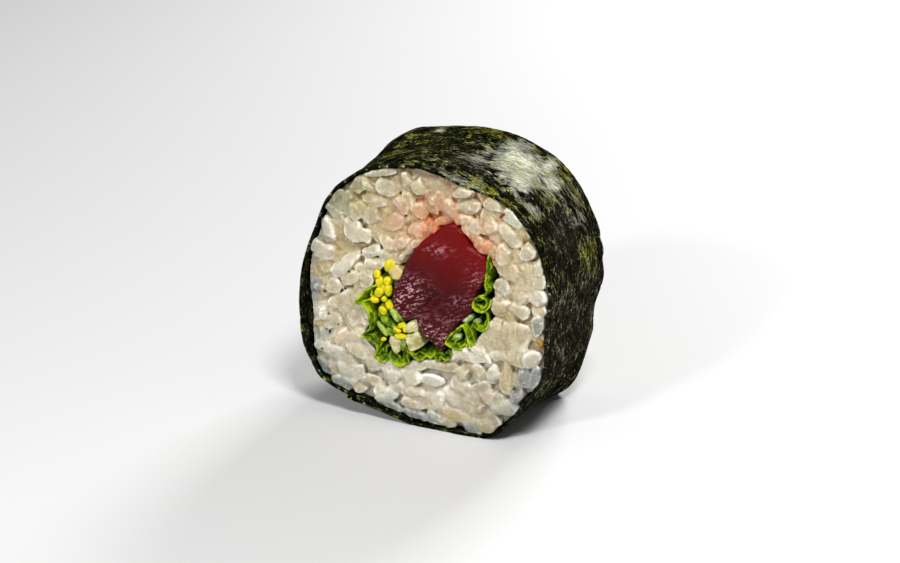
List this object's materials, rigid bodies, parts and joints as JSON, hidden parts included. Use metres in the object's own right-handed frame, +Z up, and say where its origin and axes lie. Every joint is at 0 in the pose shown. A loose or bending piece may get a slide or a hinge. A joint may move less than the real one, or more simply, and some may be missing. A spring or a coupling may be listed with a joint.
{
  "type": "futomaki",
  "caption": "One cut piece of a thick sushi roll, standing on its seaweed side: seaweed, rice, raw tuna, leaf, flowering shoots and blocks of stalk, with a cut face at each end.",
  "frame": {"origin": "on the floor, under the middle of the piece", "axes": "+Z up, +Y along the roll's axis from the shown cut face to the hidden one, +X to the right as seen from the shown face"},
  "size_m": [0.0524, 0.0284, 0.052],
  "materials": {
    "nori": "moist, half gloss",
    "rice": "moist, translucent",
    "tuna": "wet",
    "lettuce": "moist",
    "florets": "soft",
    "stalk": "moist"
  },
  "bodies": {
    "root": {"nori": "nori", "rice": "rice", "tuna": "tuna", "lettuce": "lettuce", "florets": "florets", "stalk_top": "stalk", "stalk_upper": "stalk", "stalk_lower": "stalk", "stalk_side": "stalk"}
  },
  "joints": []
}
